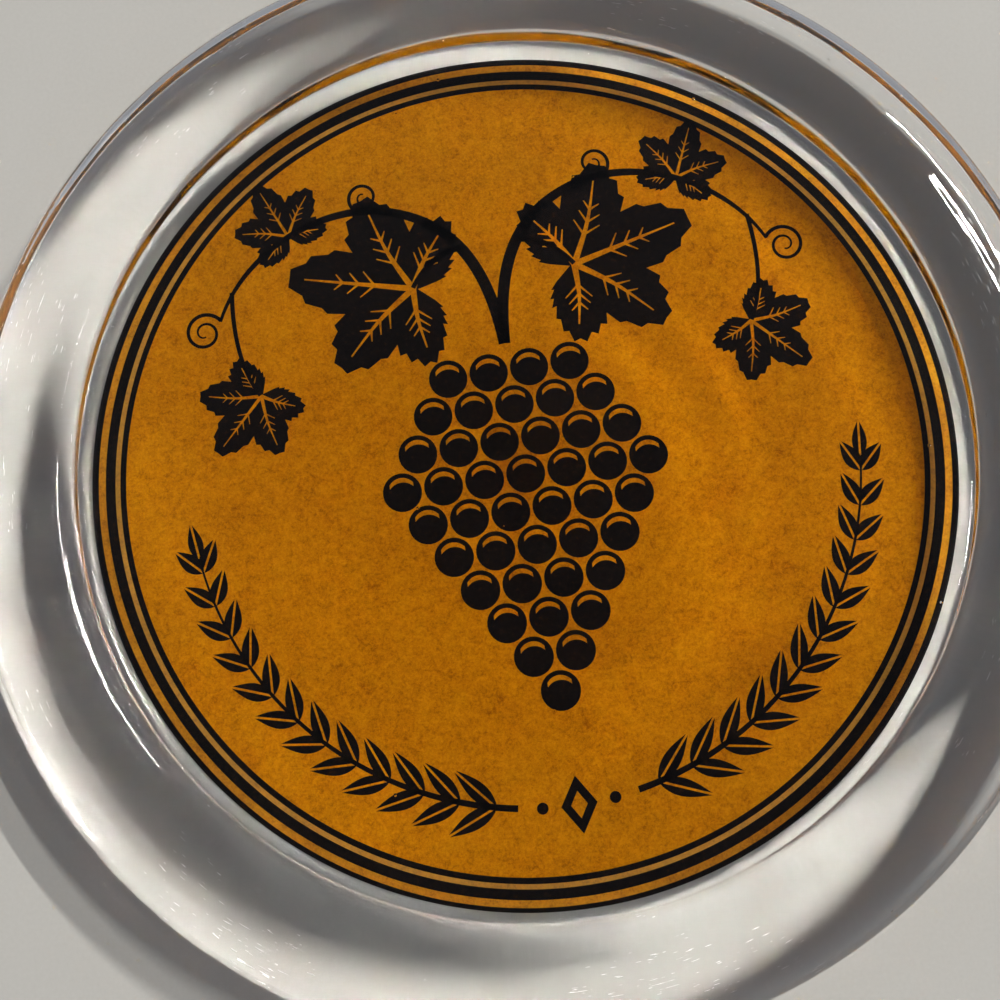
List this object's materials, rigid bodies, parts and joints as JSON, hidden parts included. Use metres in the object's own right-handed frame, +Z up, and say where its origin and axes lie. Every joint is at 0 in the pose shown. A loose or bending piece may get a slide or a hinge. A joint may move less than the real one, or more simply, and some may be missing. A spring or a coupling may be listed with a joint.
{
  "type": "glass coaster",
  "caption": "Round clear glass coaster: a flat well with a broad rounded rim for a bottle or tumbler, a paper label bonded under the floor and a felt pad below it.",
  "frame": {"origin": "centre of the base, on the plane that the felt pad rests on", "axes": "+Z up along the axis of the dish, +X along the label's reading direction, +Y towards the top of the label"},
  "size_m": [0.1344, 0.1344, 0.0119],
  "materials": {
    "clear_glass": "clear, fire-polished, with small seeds and scratches",
    "clear_adhesive": "clear film",
    "label_paper": "aged amber parchment with black print",
    "felt": "dense dark wool felt"
  },
  "bodies": {
    "root": {"glass_dish": "clear_glass", "label_adhesive": "clear_adhesive", "printed_label": "label_paper", "pad_adhesive": "clear_adhesive", "felt_pad": "felt"}
  },
  "joints": []
}
